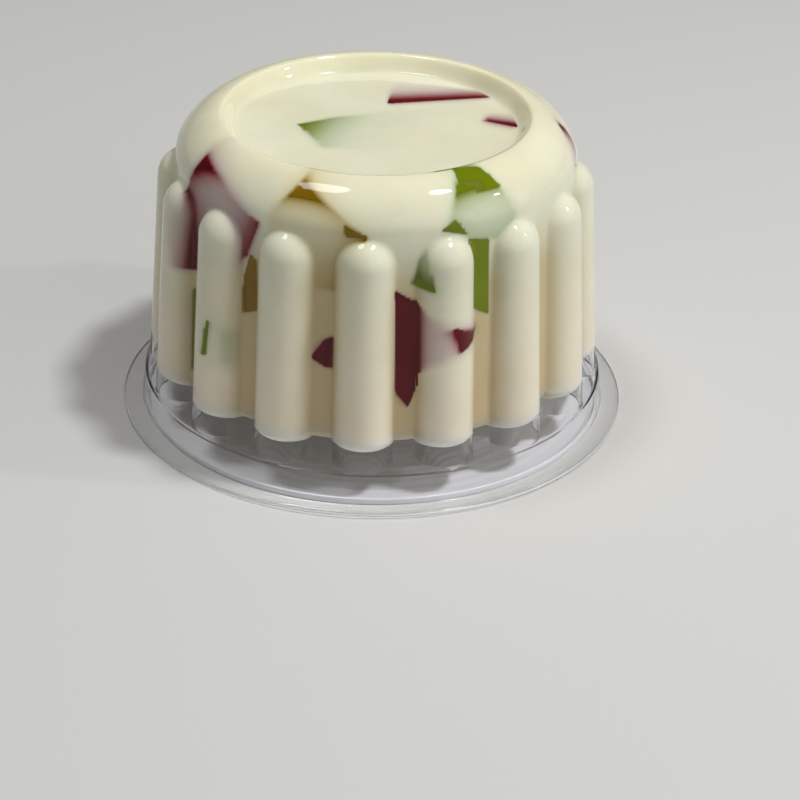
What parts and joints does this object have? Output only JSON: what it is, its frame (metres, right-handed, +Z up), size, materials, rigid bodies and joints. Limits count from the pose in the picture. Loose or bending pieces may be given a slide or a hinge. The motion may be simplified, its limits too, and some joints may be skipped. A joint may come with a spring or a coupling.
{
  "type": "moulded mosaic jelly in a clear fluted dessert cup",
  "caption": "Cream jelly with blocks of red, green and amber gel, set in a clear fluted cup with a sunk top disc and a wide flange. It stands upside down on its flange, with its thin frosted lid inside the step.",
  "frame": {"origin": "on the table under the middle of the cup", "axes": "+Z up along the cup's axis, -Y towards the front, +X to the right"},
  "size_m": [0.095, 0.095, 0.0578],
  "materials": {
    "clear_cup": "clear, glossy, thermoformed sheet",
    "clear_lid": "translucent frosted polypropylene sheet",
    "cream_jelly": "smooth wet milky jelly",
    "red_gel": "smooth wet translucent gel",
    "green_gel": "smooth wet translucent gel",
    "amber_gel": "smooth wet translucent gel"
  },
  "bodies": {
    "root": {"cup": "clear_cup", "lid": "clear_lid", "jelly": "cream_jelly", "gel_red_left": "red_gel", "gel_red_front": "red_gel", "gel_red_low": "red_gel", "gel_red_rear": "red_gel", "gel_red_side": "red_gel", "gel_red_top": "red_gel", "gel_red_rim": "red_gel", "gel_red_shoulder": "red_gel", "gel_green_right": "green_gel", "gel_green_front": "green_gel", "gel_green_left": "green_gel", "gel_green_rear": "green_gel", "gel_green_top": "green_gel", "gel_amber_front": "amber_gel", "gel_amber_left": "amber_gel", "gel_amber_rear": "amber_gel", "gel_amber_side": "amber_gel"}
  },
  "joints": []
}
